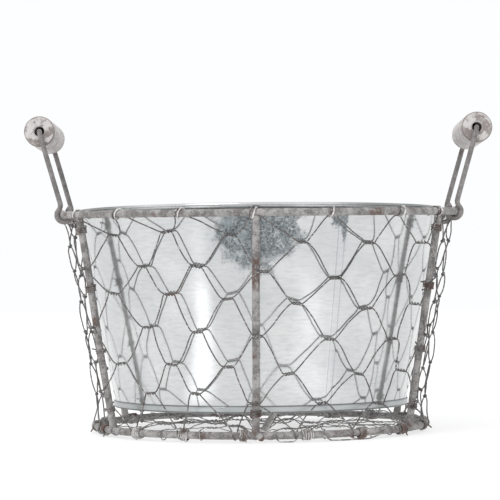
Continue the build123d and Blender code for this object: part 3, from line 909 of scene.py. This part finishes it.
def make_handles():
    lean = (GRIP_CENTRE - PIVOT).normalized()
    out = Vector((lean.z, 0, -lean.x))
    profile = grip_profile()
    for name, mirror in (("right", 1), ("left", -1)):
        path = []
        for u, y, w in bail_path():
            spot = PIVOT + out * u + lean * w
            path.append(np.array((spot.x * mirror, y, spot.z)))
        # The eyes keep their shape, because the top ring runs through them.
        bent = wander(path, 0.25, 30.0, 20 + mirror)
        path = [p + (b - p) * min(max((p[2] - PIVOT.z - 6) / 20, 0), 1) for p, b in zip(path, bent)]
        parts = [tube(path, BAIL_WIRE / 2, STOUT_SIDES, crust=BAIL_CRUST, crust_wave=1.2)]
        piece(f"bail_{name}", parts, f"{name}_handle", BAIL_PAINT, [f"bail_{name}"])
        centre = Vector((GRIP_CENTRE.x * mirror, 0, GRIP_CENTRE.z))
        parts = [turned(profile, 128, worn_wood(mirror), axis_y=centre)]
        piece(f"grip_{name}", parts, f"{name}_grip", WOOD, [f"grip_{name}"], smooth=50)


def grip_profile():
    """Radius and distance along the grip: bore, end face, worn edge, groove, barrel and back again."""
    half, r, bore = GRIP_LENGTH / 2, GRIP_RADIUS, GRIP_BORE
    end = [(bore, half - 3.0), (bore, half - 0.7), (bore + 0.25, half - 0.25), (bore + 0.8, half - 0.02)]
    for k in range(1, 7):
        end.append((bore + 0.8 + (r - 1.6 - bore) * k / 6, half - 0.05 * math.sin(math.pi * k / 6)))
    end += [(r - 0.45, half - 0.12), (r - 0.15, half - 0.4), (r - 0.05, half - 0.9), (r, half - 1.5),
            (r - 0.08, half - 1.85), (r - 0.42, half - 2.05), (r - 0.5, half - 2.25), (r - 0.42, half - 2.45),
            (r - 0.08, half - 2.65), (r, half - 3.0)]
    barrel = [(r - 0.04 * (k % 3), half - 3.0 - (GRIP_LENGTH - 6.0) * k / 60) for k in range(1, 60)]
    other = [(radius, -height) for radius, height in end[::-1]]
    return [*end, *barrel, *other, end[0]]


# ---------------------------------------------------------------- studio
def glow_strip(s, angle, start, end, half_width, strength, end_fade):
    """A long soft glow on the light table, which the liner mirrors as an upright highlight."""
    x, y, _ = s.coordinates()
    out, side = outwards(angle), along(angle)
    far = s.math("ADD", s.math("MULTIPLY", x, out[0]), s.math("MULTIPLY", y, out[1]))
    aside = s.math("ADD", s.math("MULTIPLY", x, side[0]), s.math("MULTIPLY", y, side[1]))
    begun = s.fade(far, start * MM, (start + GLOW_START) * MM)
    lengthwise = s.math("MULTIPLY", begun, s.fade(far, end * MM, (end - end_fade) * MM))
    across = s.fade(s.math("ABSOLUTE", aside), half_width * GLOW_SPREAD * MM, 0.0)
    return s.math("MULTIPLY", s.math("MULTIPLY", lengthwise, across), strength)


def make_studio():
    floor_mesh = bpy.data.meshes.new("studio_floor")
    corners = [(x * TABLE_HALF, y * TABLE_HALF, 0) for x, y in ((-1, -1), (1, -1), (1, 1), (-1, 1))]
    floor_mesh.from_pydata(corners, [], [(0, 1, 2, 3)])
    s = Shader("light_table")
    glow = TABLE_GLOW
    for strip in GLOWS:
        glow = s.math("ADD", glow, glow_strip(s, *strip))
    tone = s.blend(s.noise(400.0, 2.0), (0.36, 0.36, 0.36), (0.38, 0.38, 0.38))
    floor_mesh.materials.append(
        s.finish(Base_Color=tone, Roughness=0.8, Emission_Color=(1.0, 1.0, 1.0), Emission_Strength=glow)
    )
    floor = bpy.data.objects.new("studio_floor", floor_mesh)
    bpy.context.scene.collection.objects.link(floor)

    world = bpy.data.worlds.new("studio")
    world.use_nodes = True
    background = world.node_tree.nodes["Background"]
    background.inputs["Color"].default_value = (0.985, 0.99, 1.0, 1.0)
    background.inputs["Strength"].default_value = 1.0
    bpy.context.scene.world = world

    sun = bpy.data.lights.new("key", "SUN")
    sun.energy = KEY_STRENGTH
    sun.angle = math.radians(25)
    key = bpy.data.objects.new("key", sun)
    key.rotation_euler = Vector((0.45, 0.55, -1.0)).to_track_quat("-Z", "Y").to_euler()
    bpy.context.scene.collection.objects.link(key)
    bpy.context.scene.view_settings.view_transform = "Standard"


def make_camera():
    camera = bpy.data.cameras.new("camera")
    camera.sensor_width = 36.0
    camera.lens = LENS
    camera.clip_end = 50.0
    made = bpy.data.objects.new("camera", camera)
    made.location = CAMERA_PLACE
    turn = Matrix.Rotation(math.radians(CAMERA_YAW), 3, "Z")
    turn = turn @ Matrix.Rotation(math.radians(90 + CAMERA_PITCH), 3, "X")
    turn = turn @ Matrix.Rotation(math.radians(CAMERA_ROLL), 3, "Z")
    made.rotation_euler = turn.to_euler()
    bpy.context.scene.collection.objects.link(made)
    bpy.context.scene.camera = made


make_studio()
make_camera()
make_rings()
make_struts()
make_floor_bar()
make_netting()
make_lacing()
make_ties()
make_floor_netting()
make_liner()
make_handles()
